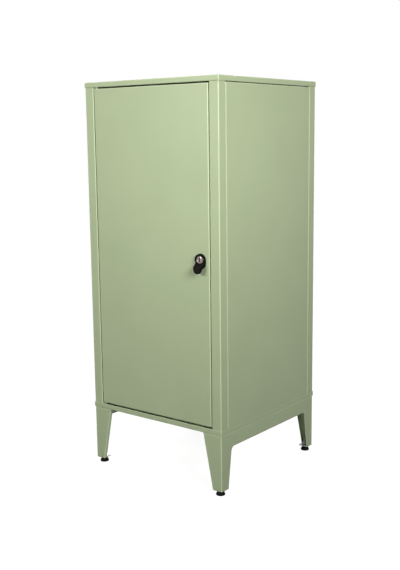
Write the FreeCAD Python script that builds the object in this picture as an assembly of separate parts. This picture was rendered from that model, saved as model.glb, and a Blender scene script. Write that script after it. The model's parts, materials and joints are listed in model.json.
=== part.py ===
import FreeCAD, Part
import os
from math import asin, atan, cos, hypot, radians, sin, sqrt, tan

from FreeCAD import Vector

# Storage cabinet of folded sheet steel: four corner posts between two caps, flush side and back
# panels, an inset door on pivot pins, shelves on clips, and a tapered leg frame under each side.
# Millimetres, +Z up, the door faces -Y, the hinges are on the -X side, the feet stand on Z = 0.

# Overall sizes
cap_width = 450.0            # across the caps, side to side
cap_depth = 450.0            # across the caps, front to back
carcass_height = 900.0       # underside of the base cap to the top of the top cap
leg_height = 150.0           # leg frame, from the leg ends to the base cap
foot_height = 14.0           # floor to the leg ends

# Sheet metal in common
bend_inside = 1.2            # inner radius of every bend
running_clearance = 0.05     # radial, for pins and shafts
fixing_clearance = 0.15      # radial, for fixed pins, screws and rivets in their holes

# Caps
cap_sheet = 1.0
cap_rim_height = 14.0
cap_rim_wall = 1.2           # rim with its closed hem
cap_fit = 0.2                # rim to posts
cap_edge = 1.8               # outer radius of the cap's edges

# Posts
post_sheet = 1.0
post_face = 29.4             # width of the front face and of the side face
post_lip = 10.0              # stiffening lip at the end of the deep return
slot_pitch = 25.0            # shelf slots
slot_height = 4.0
slot_side_play = 0.5         # slot to clip, each side
slot_end_margin = 40.0       # first slot above the floor, last slot below the door's top
slot_to_bend = 1.3           # slot to the bend of the post's lip

# Side and back panels
panel_sheet = 0.8
panel_return = 12.0          # depth of the panel's returns, and of the post's return beside them
panel_seam = 0.3             # panel to post
panel_top_gap = 1.5          # panel to the rim of the top cap
panel_tuck = 4.0             # reach of the panels down behind the rim of the base cap

# Door
door_sheet = 1.0
door_thickness = 18.0
door_lip = 12.0
door_side_gap = 2.8
door_end_gap = 3.4
stiffener_sheet = 0.8
stiffener_width = 60.0
stiffener_depth = 14.0
stiffener_flange = 14.0
stiffener_end_gap = 0.5

# Pivot hinges
hinge_inset = 6.5            # door's edge to the pivot axis
hinge_setback = 6.5          # door's face to the pivot axis
hinge_play = 0.1             # bush flange to bracket
ear_thickness = 2.0
ear_radius = 4.8
bracket_depth = 26.0
bracket_cap_gap = 1.0        # bracket to the cap's plate
pin_diameter = 5.0
pin_head_diameter = 8.5
pin_head_height = 2.0
pin_reach = 12.0             # length of the pin inside the door
bush_wall = 1.2
bush_rim = 0.9               # how far the bush's flange stands out past its body
bush_length = 8.0
rivet_diameter = 4.0
rivet_head_diameter = 7.5
rivet_head_height = 1.2
rivet_spacing = 11.0

# Shelves, floor tray and shelf clips
shelf_sheet = 1.0
shelf_height = 25.0
shelf_lip = 10.0
shelf_door_gap = 14.0        # door's back to the front of the shelves
shelf_back_gap = 3.0         # shelves to the back panel's returns
floor_tray_height = 20.0
clip_sheet = 1.5
clip_width = 12.0
clip_hook = 6.0
clip_drop = 16.0             # slot's middle to the underside of the ledge
clip_ledge = 11.0
clip_clearance = 0.25
clip_bend = 0.3

# Door stops on the lock side
stop_sheet = 1.5
stop_reach = 13.0
stop_depth = 18.0
stop_height = 22.0
stop_from_end = 45.0         # door's top and bottom edge to the middle of a stop
buffer_diameter = 9.0
buffer_height = 2.5
buffer_stem = 4.0
buffer_play = 0.3            # buffer to the closed door

# Lock
lock_edge = 27.2             # door's edge to the lock's axis
lock_height = 450.0          # underside of the base cap to the lock's axis
escutcheon_width = 32.0
escutcheon_drop = 7.6        # distance between the centres of its two round ends
escutcheon_thickness = 2.4
escutcheon_edge = 1.0
spigot_diameter = 22.0
spigot_length = 12.0
lock_nut_flats = 27.0
lock_nut_height = 5.0
barrel_diameter = 21.0
barrel_stand = 6.2           # barrel's face above the door
barrel_chamfer = 1.2
shank_diameter = 16.0
plug_diameter = 13.0
plug_length = 14.2
plug_recess = 0.4
keyway_height = 8.0
keyway_width = 2.0
keyway_depth = 11.0
hub_diameter = 31.0
hub_thickness = 3.2
hub_gap = 0.2                # lever to escutcheon
tail_drop = 24.0             # lock's axis to the middle of the lever's round end
tail_diameter = 21.0
tail_stand = 19.4            # outer face of the lever's end above the door
tail_thickness = 9.4
tail_flat = 15.0             # length of the end's outer flat
tail_edge = 2.4              # rounding of the lever's outer edges
tail_back_edge = 1.2
cam_thickness = 2.5
cam_width = 14.0
cam_square = 9.0
cam_gap = 1.0                # door's back to the cam
latch_engagement = 8.0       # how far the cam reaches through the post
latch_clearance = 1.2
cam_screw_diameter = 5.0
cam_screw_head = 12.0
cam_screw_head_height = 3.0
cam_screw_length = 12.0

# Leg frames
leg_sheet = 1.5
leg_inset = 0.1              # post's face to the leg's face
apron_height = 39.5
side_leg_top = 45.0          # width of the leg's side face where it meets the apron
front_leg_top = 59.5         # width of the leg's front face under the base cap
leg_end_width = 30.0         # width of both faces at the leg's end
leg_fillet = 12.0            # rounding between apron and leg
leg_lip = 8.5                # return along the tapered edge
leg_flange = 30.0            # top flange under the base cap
bolt_diameter = 6.0
bolt_edge = 14.0             # leg's side face to the bolts
bolt_spacing = 300.0
bolt_flats = 10.0
bolt_head_height = 4.0
bolt_nut_height = 5.0
bolt_tip = 2.0

# Feet
foot_plate_thickness = 3.0
foot_plate_gap = 0.5         # foot plate to the leg's return
foot_inset = 15.0            # leg's face to the foot's axis
stem_diameter = 8.0
stem_length = 37.5
foot_nut_flats = 13.0
foot_nut_height = 6.5
pad_diameter = 24.0
pad_height = 11.5
pad_rim_height = 4.0
pad_neck_diameter = 14.0
pad_floor = 4.5              # plastic under the stem
pad_edge = 0.8

# Levels
leg_end_z = foot_height
base_z = foot_height + leg_height
top_z = base_z + carcass_height
middle_z = (base_z + top_z) / 2
floor_z = base_z + cap_sheet
ceiling_z = top_z - cap_sheet
door_low = base_z + cap_rim_height + door_end_gap
door_high = top_z - cap_rim_height - door_end_gap
panel_low = base_z + cap_rim_height - panel_tuck
panel_high = top_z - cap_rim_height - panel_top_gap
apron_z = base_z - apron_height
lock_z = base_z + lock_height

# Planes and axes, with the carcass centred on X = 0 and Y = 0
post_x = cap_width / 2 - cap_rim_wall - cap_fit
post_y = cap_depth / 2 - cap_rim_wall - cap_fit
front_y = -post_y
return_x = post_x - post_face
panel_half_x = return_x - panel_seam
panel_half_y = post_y - post_face - panel_seam
door_half = return_x - door_side_gap
door_back_y = front_y + door_thickness
hinge_x = -door_half + hinge_inset
hinge_y = front_y + hinge_setback
lock_x = door_half - lock_edge
shelf_half = return_x - clip_sheet - 2 * clip_clearance
shelf_setback = door_thickness + shelf_door_gap
shelf_front = front_y + shelf_setback
shelf_back = post_y - panel_return - shelf_back_gap
slot_setback = shelf_setback + clip_width / 2
slot_width = clip_width + 2 * slot_side_play
post_return = slot_setback + slot_width / 2 + slot_to_bend + bend_inside + post_sheet
leg_x = post_x - leg_inset
leg_y = post_y - leg_inset
bolt_x = leg_x - leg_sheet - bolt_edge
foot_x = leg_x - foot_inset
foot_y = leg_y - foot_inset
stop_seat_y = door_back_y + buffer_height
cam_y = door_back_y + cam_gap

# The part's origin is under the middle of its outer box, which the lever's end makes deeper
box_shift = Vector(0, (post_y + tail_stand - cap_depth / 2) / 2, 0)

ends = {"front": -1, "rear": 1}
sides = {"left": -1, "right": 1}


# Shapes used by several pieces

def box(low, high):
    size = Vector(*high) - Vector(*low)
    return Part.makeBox(size.x, size.y, size.z, Vector(*low))


def rod(diameter, start, end):
    way = Vector(*end) - Vector(*start)
    return Part.makeCylinder(diameter / 2, way.Length, Vector(*start), way)


def hexagon(flats, start, end):
    way = Vector(*end) - Vector(*start)
    reach = flats / 2 / cos(radians(30))
    corners = [Vector(reach * cos(radians(60 * i)), reach * sin(radians(60 * i)), 0) for i in range(7)]
    prism = Part.Face(Part.makePolygon(corners)).extrude(Vector(0, 0, way.Length))
    prism.Placement = FreeCAD.Placement(Vector(*start), FreeCAD.Rotation(Vector(0, 0, 1), way))
    return prism


def soft_box(low, high, radius, sharp=()):
    # A box with rounded edges, apart from the edges that lie on the planes named in sharp
    block = box(low, high)

    def is_sharp(edge):
        return any(all(abs(v.Point[axis] - at) < 1e-6 for v in edge.Vertexes) for axis, at in sharp)

    return block.makeFillet(radius, [edge for edge in block.Edges if not is_sharp(edge)])


def pan(low, high, sheet, axis, side, lip=0.0):
    # A folded tray that is open on one side, with a lip turned inwards round the opening if asked
    open_at = high[axis] if side > 0 else low[axis]
    outer_sharp = () if lip else [(axis, open_at)]
    outer = soft_box(low, high, bend_inside + sheet, outer_sharp)
    inner_low = [value + sheet for value in low]
    inner_high = [value - sheet for value in high]
    inner_sharp = ()
    if not lip:
        past = open_at + side * sheet
        (inner_high if side > 0 else inner_low)[axis] = past
        inner_sharp = [(axis, past)]
    shell = outer.cut(soft_box(inner_low, inner_high, bend_inside, inner_sharp))
    if lip:
        window_low = [value + lip for value in low]
        window_high = [value - lip for value in high]
        window_low[axis] = open_at - 2 * sheet
        window_high[axis] = open_at + 2 * sheet
        shell = shell.cut(box(window_low, window_high))
    return shell


def rounded_face(points, radii, place):
    # A closed outline with an arc of the given radius at each corner, set in space by place(a, b)
    corners = [Vector(a, b, 0) for a, b in points]
    runs = []
    for i, corner in enumerate(corners):
        before = corner - corners[i - 1]
        after = corners[(i + 1) % len(corners)] - corner
        before.normalize()
        after.normalize()
        half_turn = before.getAngle(after) / 2
        reach = radii[i] * tan(half_turn)
        start = corner - before * reach
        end = corner + after * reach
        inwards = after - before
        inwards.normalize()
        middle = corner + inwards * (radii[i] / cos(half_turn) - radii[i])
        runs.append((start, middle, end))
    spot = lambda v: place(v.x, v.y)
    edges = []
    for i, (start, middle, end) in enumerate(runs):
        if (end - start).Length > 1e-6:
            edges.append(Part.Arc(spot(start), spot(middle), spot(end)).toShape())
        following = runs[(i + 1) % len(runs)][0]
        if (following - end).Length > 1e-6:
            edges.append(Part.LineSegment(spot(end), spot(following)).toShape())
    return Part.Face(Part.Wire(edges))


def strip_face(path, sheet, inside, place):
    # The section of a folded strip: sheet lies to the left of the path, with bends at its corners
    corners = [Vector(a, b, 0) for a, b in path]
    steps = [second - first for first, second in zip(corners, corners[1:])]
    for step in steps:
        step.normalize()
    normals = [Vector(-step.y, step.x, 0) for step in steps]
    near_radii = [0.0]
    far_radii = [0.0]
    far = [corners[0] + normals[0] * sheet]
    for i in range(1, len(steps)):
        spread = (normals[i - 1] + normals[i]) * (1 / (1 + normals[i - 1].dot(normals[i])))
        far.append(corners[i] + spread * sheet)
        turns_left = steps[i - 1].cross(steps[i]).z > 0
        near_radii.append(inside + sheet if turns_left else inside)
        far_radii.append(inside if turns_left else inside + sheet)
    far.append(corners[-1] + normals[-1] * sheet)
    outline = [(v.x, v.y) for v in corners + far[::-1]]
    return rounded_face(outline, near_radii + [0.0, 0.0] + far_radii[::-1], place)


def mirrored(shape, axis, at=0.0):
    normal = Vector(*[1.0 if i == axis else 0.0 for i in range(3)])
    return shape.mirror(normal * at, normal)


def at_corner(shape, end, side):
    # Moves a piece made for the front left corner to another corner
    if side > 0:
        shape = mirrored(shape, 0)
    if end > 0:
        shape = mirrored(shape, 1)
    return shape


def save(name, *solids):
    shape = solids[0] if len(solids) == 1 else Part.makeCompound(list(solids))
    shape = shape.copy()
    shape.translate(box_shift)
    if not shape.isValid():
        raise ValueError(name + " is not a valid shape")
    shape.exportStep("parts/" + name + ".step")
    print(name, len(shape.Solids), round(shape.Volume))


# Carcass

def slot_levels():
    first = floor_z + floor_tray_height + slot_end_margin
    last = door_high - slot_end_margin
    return [first + slot_pitch * i for i in range(int((last - first) / slot_pitch) + 1)]


def bolt_places():
    return [(side * bolt_x, end * bolt_spacing / 2) for side in (-1, 1) for end in (-1, 1)]


def make_top_cap():
    rim_z = top_z - cap_rim_height
    low = (-cap_width / 2, -cap_depth / 2, rim_z)
    high = (cap_width / 2, cap_depth / 2, top_z)
    shell = soft_box(low, high, cap_edge, [(2, rim_z)])
    hollow_low = (low[0] + cap_rim_wall, low[1] + cap_rim_wall, rim_z - cap_sheet)
    hollow_high = (high[0] - cap_rim_wall, high[1] - cap_rim_wall, ceiling_z)
    cap = shell.cut(box(hollow_low, hollow_high))
    rim_x = cap_width / 2 - cap_rim_wall / 2
    rim_y = cap_depth / 2 - cap_rim_wall / 2
    hem = [
        e for e in cap.Edges
        if all(abs(v.Z - rim_z) < 1e-6 and (abs(v.X) > rim_x or abs(v.Y) > rim_y) for v in e.Vertexes)
    ]
    return cap.makeFillet(0.45 * cap_rim_wall, hem)


def make_base_cap(top_cap):
    cap = mirrored(top_cap, 2, middle_z)
    for x, y in bolt_places():
        hole = bolt_diameter + 2 * fixing_clearance
        cap = cap.cut(rod(hole, (x, y, base_z - cap_sheet), (x, y, floor_z + cap_sheet)))
    return cap


def make_post():
    # Front left post, seen from above: panel return, side face, front face, deep return and lip
    path = [
        (-post_x + panel_return, front_y + post_face),
        (-post_x, front_y + post_face),
        (-post_x, front_y),
        (-return_x, front_y),
        (-return_x, front_y + post_return),
        (-return_x - post_lip, front_y + post_return),
    ]
    section = strip_face(path, post_sheet, bend_inside, lambda x, y: Vector(x, y, floor_z))
    post = section.extrude(Vector(0, 0, ceiling_z - floor_z))
    slot_y = front_y + slot_setback
    slots = [
        box(
            (-return_x - 2 * post_sheet, slot_y - slot_width / 2, z - slot_height / 2),
            (-return_x + post_sheet, slot_y + slot_width / 2, z + slot_height / 2),
        )
        for z in slot_levels()
    ]
    return post.cut(Part.makeCompound(slots))


def cut_rivet_holes(post, rivet_y, levels, x):
    hole = rivet_diameter + 2 * fixing_clearance
    for y in rivet_y:
        for z in levels:
            post = post.cut(rod(hole, (x - 2 * post_sheet, y, z), (x + 2 * post_sheet, y, z)))
    return post


def cut_latch_slot(post):
    # The cam swings into this slot from above, so the slot is as tall as the cam's path there
    keeper_x = return_x - lock_x
    reach = hypot(cam_reach(), cam_width / 2)
    low = (return_x - post_sheet, cam_y - latch_clearance, lock_z - cam_width / 2 - latch_clearance)
    rise = sqrt(reach ** 2 - keeper_x ** 2) + latch_clearance
    high = (return_x + 2 * post_sheet, cam_y + cam_thickness + latch_clearance, lock_z + rise)
    return post.cut(box(low, high))


def make_side_panel():
    low = (-post_x, -panel_half_y, panel_low)
    high = (-post_x + panel_return, panel_half_y, panel_high)
    return pan(low, high, panel_sheet, 0, 1)


def make_back_panel():
    low = (-panel_half_x, post_y - panel_return, panel_low)
    high = (panel_half_x, post_y, panel_high)
    return pan(low, high, panel_sheet, 1, -1)


def make_tray(bottom, height):
    low = (-shelf_half, shelf_front, bottom)
    high = (shelf_half, shelf_back, bottom + height)
    return pan(low, high, shelf_sheet, 2, -1, shelf_lip)


def make_clip(slot_z):
    # A bent strip: hook behind the post's return, through the slot, down, and out as a ledge
    hook_x = -return_x - post_sheet - clip_clearance - clip_sheet
    drop_x = -return_x + clip_clearance
    through_z = slot_z - clip_sheet / 2
    path = [
        (hook_x, through_z + clip_hook),
        (hook_x, through_z),
        (drop_x, through_z),
        (drop_x, slot_z - clip_drop),
        (drop_x + clip_ledge, slot_z - clip_drop),
    ]
    section = strip_face(path, clip_sheet, clip_bend, lambda x, z: Vector(x, shelf_front, z))
    return section.extrude(Vector(0, clip_width, 0))


def make_rivet(x, y, z, grip, way):
    # A rivet whose head lies on the plane X = x, with its shank running the given way along X
    shank_end = x + way * (grip + rivet_head_height)
    tail_start = x + way * grip
    head = rod(rivet_head_diameter, (x - way * rivet_head_height, y, z), (x, y, z))
    shank = rod(rivet_diameter, (x - way * rivet_head_height, y, z), (shank_end, y, z))
    tail = rod(rivet_diameter + 2, (tail_start, y, z), (shank_end, y, z))
    return head.fuse([shank, tail])


def make_carcass():
    top_cap = make_top_cap()
    save("top_cap", top_cap)
    save("base_cap", make_base_cap(top_cap))
    post = make_post()
    for end_name, end in ends.items():
        for side_name, side in sides.items():
            corner_post = at_corner(post, end, side)
            if (end_name, side_name) == ("front", "left"):
                corner_post = cut_rivet_holes(corner_post, bracket_rivet_y(), bracket_rivet_z(), -return_x)
            if (end_name, side_name) == ("front", "right"):
                corner_post = cut_latch_slot(corner_post)
                corner_post = cut_rivet_holes(corner_post, [stop_rivet_y()], stop_levels(), return_x)
            save(end_name + "_" + side_name + "_post", corner_post)
    panel = make_side_panel()
    save("left_side_panel", panel)
    save("right_side_panel", mirrored(panel, 0))
    save("back_panel", make_back_panel())


def make_shelves():
    save("floor_tray", make_tray(floor_z, floor_tray_height))
    levels = slot_levels()
    chosen = {"lower": levels[len(levels) // 3], "upper": levels[2 * len(levels) // 3]}
    for name, slot_z in chosen.items():
        save(name + "_shelf", make_tray(slot_z - clip_drop + clip_sheet, shelf_height))
        clip = make_clip(slot_z)
        save(name + "_shelf_clips", *[at_corner(clip, e, s) for e in ends.values() for s in sides.values()])


# Door, hinges and stops

def lock_point(stand, up=0.0, across=0.0):
    # A point given by its height above the door's face and its offset from the lock's axis
    return Vector(lock_x + across, front_y - stand, lock_z + up)


def hinge_rod(diameter, low, high):
    return rod(diameter, (hinge_x, hinge_y, low), (hinge_x, hinge_y, high))


def make_door():
    low = (-door_half, front_y, door_low)
    high = (door_half, door_back_y, door_high)
    door = pan(low, high, door_sheet, 1, 1, door_lip)
    bush_hole = pin_diameter + 2 * (running_clearance + bush_wall + fixing_clearance)
    for z in (door_low, door_high):
        door = door.cut(hinge_rod(bush_hole, z - 2 * door_sheet, z + 2 * door_sheet))
    lock_hole = spigot_diameter + 2 * fixing_clearance
    return door.cut(rod(lock_hole, lock_point(door_sheet), lock_point(-2 * door_sheet)))


def make_stiffener():
    skin_y = front_y + door_sheet
    half = stiffener_width / 2
    path = [
        (-half - stiffener_flange, skin_y),
        (-half, skin_y),
        (-half, skin_y + stiffener_depth),
        (half, skin_y + stiffener_depth),
        (half, skin_y),
        (half + stiffener_flange, skin_y),
    ]
    low = door_low + door_sheet + stiffener_end_gap
    high = door_high - door_sheet - stiffener_end_gap
    section = strip_face(path, stiffener_sheet, bend_inside, lambda x, y: Vector(x, y, low))
    return section.extrude(Vector(0, 0, high - low))


def ear_low():
    return door_high + (door_end_gap - ear_thickness) / 2


def bracket_rivet_y():
    last = hinge_y - ear_radius + bracket_depth - rivet_head_diameter / 2 - 0.5
    return [last - rivet_spacing, last]


def bracket_rivet_z():
    upper = (ear_low() + ear_thickness + ceiling_z - bracket_cap_gap) / 2
    return [upper, 2 * middle_z - upper]


def make_upper_bracket():
    low = ear_low()
    front = hinge_y - ear_radius
    back = hinge_y + ear_radius
    nose = hinge_x + ear_radius
    outline = [(-return_x, front), (nose, front), (nose, back), (-return_x, back)]
    ear = rounded_face(outline, [0, ear_radius, ear_radius, 0], lambda x, y: Vector(x, y, low))
    ear = ear.extrude(Vector(0, 0, ear_thickness))
    wing = box(
        (-return_x, front, low),
        (-return_x + ear_thickness, front + bracket_depth, ceiling_z - bracket_cap_gap),
    )
    hole = pin_diameter + 2 * running_clearance
    bracket = ear.fuse(wing).removeSplitter()
    bracket = bracket.cut(hinge_rod(hole, low - 1, low + ear_thickness + 1))
    hole = rivet_diameter + 2 * fixing_clearance
    for y in bracket_rivet_y():
        z = bracket_rivet_z()[0]
        bracket = bracket.cut(rod(hole, (-return_x - 1, y, z), (-return_x + ear_thickness + 1, y, z)))
    return bracket


def make_upper_pin():
    seat = ear_low() + ear_thickness
    shank = hinge_rod(pin_diameter, door_high - pin_reach, seat + pin_head_height)
    head = hinge_rod(pin_head_diameter, seat, seat + pin_head_height)
    return head.fuse(shank).removeSplitter()


def make_upper_bush():
    body_diameter = pin_diameter + 2 * (running_clearance + bush_wall)
    flange_top = ear_low() - hinge_play
    body = hinge_rod(body_diameter, door_high - bush_length, flange_top)
    flange = hinge_rod(body_diameter + 2 * bush_rim, door_high, flange_top)
    bore = pin_diameter + 2 * running_clearance
    bush = body.fuse(flange).removeSplitter()
    return bush.cut(hinge_rod(bore, door_high - 2 * bush_length, flange_top + 1))


def make_hinges():
    pieces = {"bracket": make_upper_bracket(), "pin": make_upper_pin(), "bush": make_upper_bush()}
    for name, piece in pieces.items():
        save("upper_hinge_" + name, piece)
        save("lower_hinge_" + name, mirrored(piece, 2, middle_z))
    head_x = -return_x + ear_thickness
    grip = ear_thickness + post_sheet
    places = [(y, z) for y in bracket_rivet_y() for z in bracket_rivet_z()]
    save("hinge_rivets", *[make_rivet(head_x, y, z, grip, -1) for y, z in places])


def stop_levels():
    return [door_low + stop_from_end, door_high - stop_from_end]


def stop_rivet_y():
    return stop_seat_y + stop_depth - rivet_head_diameter / 2 - 1


def buffer_x():
    return return_x - stop_reach + buffer_diameter / 2 + 1


def make_stop(z):
    low = z - stop_height / 2
    path = [
        (return_x - stop_reach, stop_seat_y),
        (return_x, stop_seat_y),
        (return_x, stop_seat_y + stop_depth),
    ]
    section = strip_face(path, stop_sheet, bend_inside, lambda x, y: Vector(x, y, low))
    stop = section.extrude(Vector(0, 0, stop_height))
    stem_hole = buffer_stem + 2 * fixing_clearance
    x = buffer_x()
    stop = stop.cut(rod(stem_hole, (x, stop_seat_y - 1, z), (x, stop_seat_y + 2 * stop_sheet, z)))
    y = stop_rivet_y()
    rivet_hole = rivet_diameter + 2 * fixing_clearance
    return stop.cut(rod(rivet_hole, (return_x - 2 * stop_sheet, y, z), (return_x + 1, y, z)))


def make_buffer(z):
    x = buffer_x()
    face_y = door_back_y + buffer_play
    head = rod(buffer_diameter, (x, face_y, z), (x, stop_seat_y, z))
    rim = [e for e in head.Edges if all(abs(v.Y - face_y) < 1e-6 for v in e.Vertexes)]
    head = head.makeFillet((stop_seat_y - face_y) / 2, rim)
    stem = rod(buffer_stem, (x, stop_seat_y - buffer_height / 2, z), (x, stop_seat_y + 2 * stop_sheet, z))
    return head.fuse(stem).removeSplitter()


def make_stops():
    save("door_stops", *[make_stop(z) for z in stop_levels()])
    save("door_buffers", *[make_buffer(z) for z in stop_levels()])
    grip = stop_sheet + post_sheet
    head_x = return_x - stop_sheet
    save("stop_rivets", *[make_rivet(head_x, stop_rivet_y(), z, grip, 1) for z in stop_levels()])


# Lock

def cam_reach():
    return return_x - lock_x + latch_engagement


def make_escutcheon():
    half = escutcheon_width / 2
    top = half
    bottom = -escutcheon_drop - half
    outline = [(-half, bottom), (half, bottom), (half, top), (-half, top)]
    face = rounded_face(outline, [half] * 4, lambda a, b: lock_point(0, b, a))
    plate = face.extrude(Vector(0, -escutcheon_thickness, 0))
    face_y = front_y - escutcheon_thickness
    rim = [e for e in plate.Edges if all(abs(v.Y - face_y) < 1e-6 for v in e.Vertexes)]
    plate = plate.makeFillet(escutcheon_edge, rim)
    spigot = rod(spigot_diameter, lock_point(escutcheon_thickness / 2), lock_point(-spigot_length))
    bore = shank_diameter + 2 * running_clearance
    whole = plate.fuse(spigot).removeSplitter()
    return whole.cut(rod(bore, lock_point(2 * escutcheon_thickness), lock_point(-2 * spigot_length)))


def make_lock_nut():
    seat = -door_sheet
    nut = hexagon(lock_nut_flats, lock_point(seat), lock_point(seat - lock_nut_height))
    hole = spigot_diameter + 2 * running_clearance
    return nut.cut(rod(hole, lock_point(1), lock_point(-door_sheet - 2 * lock_nut_height)))


def lever_outline():
    # Hub and round end joined by the two lines that touch both
    hub = hub_diameter / 2
    tail = tail_diameter / 2
    lean = asin((hub - tail) / tail_drop)
    side = Vector(cos(lean), -sin(lean), 0)
    hub_touch = side * hub
    tail_touch = side * tail + Vector(0, -tail_drop, 0)
    spot = lambda x, z: lock_point(0, z, x)
    hub_arc = Part.Arc(spot(-hub_touch.x, hub_touch.y), spot(0, hub), spot(hub_touch.x, hub_touch.y))
    tail_arc = Part.Arc(
        spot(tail_touch.x, tail_touch.y), spot(0, -tail_drop - tail), spot(-tail_touch.x, tail_touch.y)
    )
    right = Part.LineSegment(spot(hub_touch.x, hub_touch.y), spot(tail_touch.x, tail_touch.y))
    left = Part.LineSegment(spot(-tail_touch.x, tail_touch.y), spot(-hub_touch.x, hub_touch.y))
    return Part.Face(Part.Wire([piece.toShape() for piece in (hub_arc, right, tail_arc, left)]))


def make_lever():
    # The front outline, carved by a side view in which the arm climbs from the hub to its end
    hub = hub_diameter / 2
    hub_back = escutcheon_thickness + hub_gap
    hub_front = hub_back + hub_thickness
    end_low = -tail_drop - tail_diameter / 2
    back_stand = tail_stand - tail_thickness
    arm_start = -barrel_diameter / 2 - running_clearance
    side_view = [
        (hub_back, hub + 1),
        (hub_front, hub + 1),
        (hub_front, arm_start),
        (tail_stand, end_low + tail_flat),
        (tail_stand, end_low - 1),
        (back_stand, end_low - 1),
        (back_stand, -tail_drop),
        (hub_back, -hub),
    ]
    profile = rounded_face(side_view, [0.0] * len(side_view), lambda p, z: lock_point(p, z, -hub - 1))
    block = profile.extrude(Vector(2 * hub + 2, 0, 0))
    lever = lever_outline().extrude(Vector(0, -tail_stand - 1, 0)).common(block)
    outer = front_y - tail_stand
    inner = front_y - back_stand
    outer_rim = [e for e in lever.Edges if all(abs(v.Y - outer) < 1e-6 for v in e.Vertexes)]
    lever = lever.makeFillet(tail_edge, outer_rim)
    inner_rim = [
        e for e in lever.Edges
        if all(abs(v.Y - inner) < 1e-6 and v.Z < lock_z - tail_drop + 1e-6 for v in e.Vertexes)
        and e.Curve.TypeId == "Part::GeomCircle"
    ]
    lever = lever.makeFillet(tail_back_edge, inner_rim)
    hole = barrel_diameter + 2 * running_clearance
    return lever.cut(rod(hole, lock_point(0), lock_point(tail_stand + 1)))


def make_barrel():
    hub_back = escutcheon_thickness + hub_gap
    head = rod(barrel_diameter, lock_point(hub_back), lock_point(barrel_stand))
    face_y = front_y - barrel_stand
    rim = [e for e in head.Edges if all(abs(v.Y - face_y) < 1e-6 for v in e.Vertexes)]
    head = head.makeChamfer(barrel_chamfer, rim)
    shank_end = cam_y - front_y
    shank = rod(shank_diameter, lock_point(barrel_stand / 2), lock_point(-shank_end))
    half = cam_square / 2 - running_clearance
    low = lock_point(-shank_end + 1, -half, -half)
    high = lock_point(-shank_end - cam_thickness, half, half)
    square = box((low.x, low.y, low.z), (high.x, high.y, high.z))
    barrel = head.fuse([shank, square]).removeSplitter()
    bore = plug_diameter + 2 * running_clearance
    bore_end = barrel_stand - plug_recess - plug_length
    barrel = barrel.cut(rod(bore, lock_point(barrel_stand + 1), lock_point(bore_end)))
    thread = cam_screw_diameter + 2 * running_clearance
    tip = -shank_end - cam_thickness + cam_screw_length
    return barrel.cut(rod(thread, lock_point(-shank_end - cam_thickness - 1), lock_point(tip)))


def make_plug():
    face = barrel_stand - plug_recess
    plug = rod(plug_diameter, lock_point(face), lock_point(face - plug_length))
    low = lock_point(face - keyway_depth, -keyway_height / 2, -keyway_width / 2)
    high = lock_point(face + 1, keyway_height / 2, keyway_width / 2)
    return plug.cut(box((low.x, high.y, low.z), (high.x, low.y, high.z)))


def make_cam():
    # Upright while the lever hangs down, so that the door is free to open
    half = cam_width / 2
    outline = [(-half, -half), (half, -half), (half, cam_reach()), (-half, cam_reach())]
    start = cam_y - front_y
    face = rounded_face(outline, [half, half, half / 2, half / 2], lambda a, b: lock_point(-start, b, a))
    cam = face.extrude(Vector(0, cam_thickness, 0))
    low = lock_point(-start + 1, -cam_square / 2, -cam_square / 2)
    high = lock_point(-start - cam_thickness - 1, cam_square / 2, cam_square / 2)
    return cam.cut(box((low.x, low.y, low.z), (high.x, high.y, high.z)))


def make_cam_screw():
    seat = -(cam_y - front_y + cam_thickness)
    head_end = seat - cam_screw_head_height
    head = rod(cam_screw_head, lock_point(seat), lock_point(head_end))
    shank = rod(cam_screw_diameter, lock_point(head_end), lock_point(seat + cam_screw_length - 1))
    return head.fuse(shank).removeSplitter()


def make_lock():
    save("lock_escutcheon", make_escutcheon())
    save("lock_nut", make_lock_nut())
    save("lock_handle", make_lever())
    save("lock_barrel", make_barrel())
    save("lock_plug", make_plug())
    save("lock_cam", make_cam())
    save("cam_screw", make_cam_screw())


# Leg frames and feet

def leg_edge_x(z):
    # Inner edge of the leg's front face, which tapers evenly from the base cap to the leg's end
    share = (z - leg_end_z) / leg_height
    return leg_x - leg_end_width - share * (front_leg_top - leg_end_width)


def make_leg_return():
    # The tapered edge of the right front leg: a narrow angle that runs along the edge
    lean = atan((front_leg_top - leg_end_width) / leg_height)
    along = Vector(-sin(lean), 0, cos(lean))
    outwards = Vector(cos(lean), 0, sin(lean))
    start = Vector(leg_edge_x(leg_end_z), -leg_y, leg_end_z) - along * leg_lip
    angle = strip_face(
        [(0.0, leg_lip), (0.0, 0.0), (leg_lip, 0.0)],
        leg_sheet,
        bend_inside,
        lambda a, b: start + outwards * a + Vector(0, b, 0),
    )
    length = leg_height / cos(lean) + 2 * leg_lip
    span = box((0, -cap_depth, leg_end_z), (cap_width, cap_depth, base_z - leg_sheet))
    return angle.extrude(along * length).common(span)


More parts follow.
